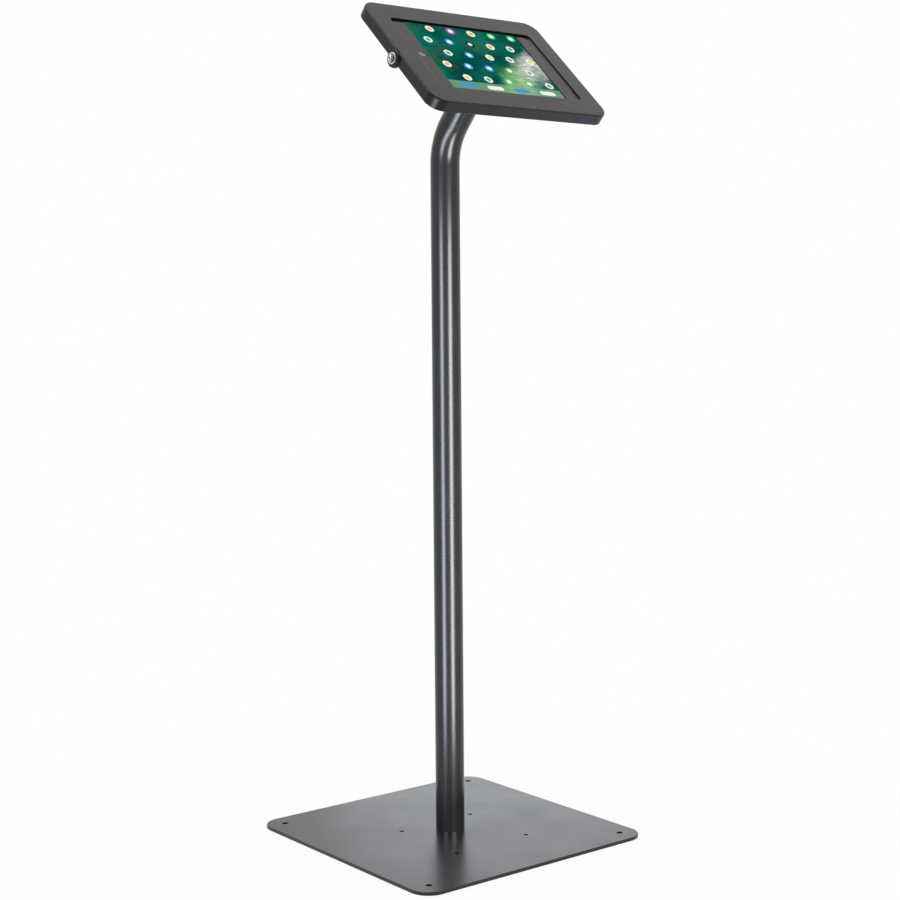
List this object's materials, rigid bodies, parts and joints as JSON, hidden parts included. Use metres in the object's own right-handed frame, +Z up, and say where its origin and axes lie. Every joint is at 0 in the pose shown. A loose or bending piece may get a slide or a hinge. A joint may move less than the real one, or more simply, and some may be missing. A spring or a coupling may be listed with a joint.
{
  "type": "tablet kiosk floor stand",
  "caption": "Floor stand that holds a tablet in a lockable hinged metal enclosure, tilted on a bent pole with a square floor plate.",
  "frame": {"origin": "centre of the floor plate, on the floor under its foot pads", "axes": "+Z up, -Y towards the person who uses the tablet, +X to that person's right"},
  "size_m": [0.4, 0.4, 1.1646],
  "materials": {
    "foot_rubber": "matt moulded rubber",
    "plate_paint": "satin black powder coat on steel",
    "pole_paint": "satin black powder coat on steel",
    "cover_paint": "satin black powder coat on sheet steel",
    "black_steel": "black oxide",
    "plain_steel": "bare machined steel",
    "zinc_steel": "bright zinc plate",
    "lock_chrome": "polished",
    "shell_aluminium": "fine blasted and anodised",
    "front_glass": "polished",
    "display_panel": "gloss",
    "battery_wrap": "matt film",
    "circuit_board": "solder mask",
    "button_ring": "polished",
    "button_plastic": "gloss",
    "switch_plastic": "matt",
    "lens_glass": "coated lens",
    "black_foam": "fine closed cell foam",
    "grommet_rubber": "matt moulded rubber"
  },
  "bodies": {
    "stand": {"foot_pads": "foot_rubber", "base_plate": "plate_paint", "pole_screws": "black_steel", "pole_plug": "plain_steel", "pole": "pole_paint", "head_flange": "pole_paint", "head_bolts": "zinc_steel", "head_washers": "zinc_steel", "head_nuts": "zinc_steel", "back_tray": "cover_paint", "hinge_pin": "zinc_steel", "lock_keeper": "plain_steel", "keeper_screws": "zinc_steel", "tablet_shell": "shell_aluminium", "tablet_glass": "front_glass", "tablet_display": "display_panel", "tablet_battery": "battery_wrap", "tablet_board": "circuit_board", "charge_socket": "plain_steel", "home_ring": "button_ring", "home_switch": "switch_plastic", "front_lens": "lens_glass", "rear_lens": "lens_glass", "foam_frame": "black_foam", "back_pads": "black_foam", "cable_grommet": "grommet_rubber"},
    "cover": {"front_cover": "cover_paint", "lock_barrel": "lock_chrome", "lock_nut": "zinc_steel"},
    "lock": {"lock_plug": "lock_chrome", "lock_cam": "plain_steel", "cam_screw": "zinc_steel"},
    "home_key": {"home_button": "button_plastic"},
    "volume_up": {"volume_up_key": "shell_aluminium"},
    "volume_down": {"volume_down_key": "shell_aluminium"},
    "power": {"power_key": "shell_aluminium"}
  },
  "joints": [
    {"name": "cover_hinge", "type": "hinge", "parent": "stand", "child": "cover", "pos_m": [0.149, -0.08235, 1.07827], "axis": [0, 0.7373, 0.6756], "range_deg": [0, 110]},
    {"name": "lock_turn", "type": "hinge", "parent": "cover", "child": "lock", "pos_m": [-0.152, -0.08817, 1.07959], "axis": [-1, 0, 0], "range_deg": [0, 90]},
    {"name": "home_press", "type": "slide", "parent": "stand", "child": "home_key", "axis": [0, 0.6756, -0.7373], "range_m": [0, 0.0003], "stiffness_N_per_m": 5000},
    {"name": "volume_up_press", "type": "slide", "parent": "stand", "child": "volume_up", "axis": [0, 0.7373, 0.6756], "range_m": [0, 0.0003], "stiffness_N_per_m": 5000},
    {"name": "volume_down_press", "type": "slide", "parent": "stand", "child": "volume_down", "axis": [0, 0.7373, 0.6756], "range_m": [0, 0.0003], "stiffness_N_per_m": 5000},
    {"name": "power_press", "type": "slide", "parent": "stand", "child": "power", "axis": [-1, 0, 0], "range_m": [0, 0.0003], "stiffness_N_per_m": 5000}
  ]
}
